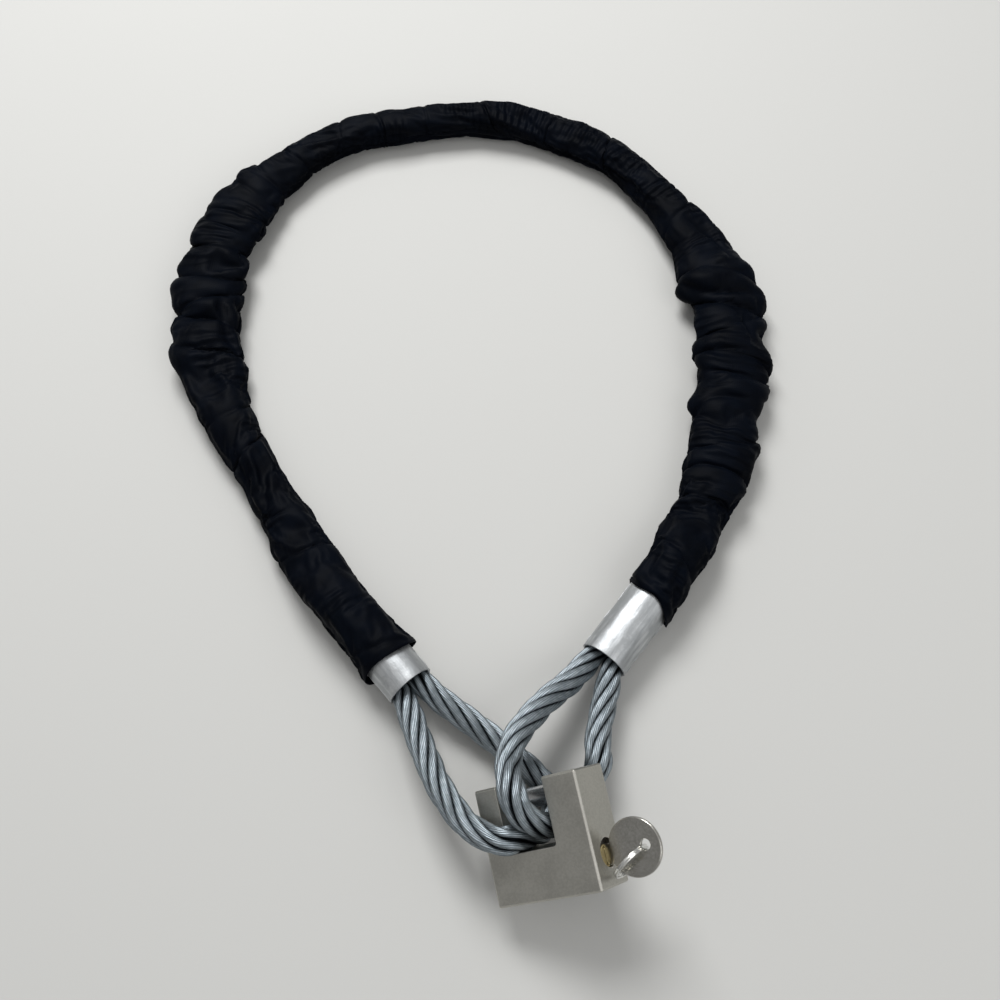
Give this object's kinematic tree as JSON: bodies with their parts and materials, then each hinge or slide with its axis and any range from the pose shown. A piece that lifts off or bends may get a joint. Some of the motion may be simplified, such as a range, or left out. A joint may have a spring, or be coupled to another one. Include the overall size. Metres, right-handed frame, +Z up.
{
  "type": "cable lock",
  "caption": "Wire rope sling with swaged eyes and a fabric sleeve, its eyes joined by a rectangular straight-bolt padlock with its key in.",
  "frame": {"origin": "on the floor, under the centre of the box round the padlock and its key (the sling is left out of that box)", "axes": "+Z up from the floor, +Y from the padlock towards the far side of the loop, +X to the right, towards the key side"},
  "size_m": [0.3565, 0.5084, 0.0655],
  "materials": {
    "body_metal": "satin nickel plate",
    "bolt_steel": "polished",
    "spring_steel": "bright",
    "cylinder_brass": "machined",
    "key_nickel": "satin nickel plate",
    "rope_wire": "galvanised wire",
    "ferrule_aluminium": "pressed, dull",
    "sleeve_fabric": "woven nylon, near black"
  },
  "bodies": {
    "padlock": {"lock_body": "body_metal", "bolt_spring": "spring_steel", "bolt_stop_pin": "spring_steel", "latch_plug": "body_metal", "cylinder_housing": "cylinder_brass", "cylinder_pin": "spring_steel", "rope_main": "rope_wire", "rope_eye_left": "rope_wire", "rope_eye_right": "rope_wire", "rope_tail_left": "rope_wire", "rope_tail_right": "rope_wire", "ferrule_left": "ferrule_aluminium", "ferrule_right": "ferrule_aluminium", "fabric_sleeve": "sleeve_fabric"},
    "bolt": {"locking_bolt": "bolt_steel"},
    "latch": {"latch": "cylinder_brass", "latch_spring": "spring_steel"},
    "plug": {"cylinder_plug": "cylinder_brass", "plug_clip": "spring_steel", "spindle": "spring_steel", "wafers": "cylinder_brass", "wafer_springs": "spring_steel"},
    "key": {"key": "key_nickel"},
    "ring": {"key_ring": "key_nickel"}
  },
  "joints": [
    {"name": "bolt_slide", "type": "slide", "parent": "padlock", "child": "bolt", "axis": [-0.803, -0.0986, -0.5878], "range_m": [0, 0.038]},
    {"name": "plug_turn", "type": "hinge", "parent": "padlock", "child": "plug", "pos_m": [0.01791, -0.01071, 0.04566], "axis": [0.803, 0.0986, 0.5878], "range_deg": [-90, 0]},
    {"name": "latch_drop", "type": "slide", "parent": "padlock", "child": "latch", "axis": [-0.2213, 0.965, 0.1405], "range_m": [-0.0029, 0]},
    {"name": "key_pull", "type": "slide", "parent": "plug", "child": "key", "axis": [0.803, 0.0986, 0.5878], "range_m": [0, 0.024]},
    {"name": "ring_swing", "type": "hinge", "parent": "key", "child": "ring", "pos_m": [0.03678, -0.00661, 0.06001], "axis": [0.5534, 0.2429, -0.7967], "range_deg": [-150, 0]}
  ],
  "couplings": [
    {"joint": "latch_drop", "follows": "plug_turn", "m_per_rad": 0.0018}
  ]
}
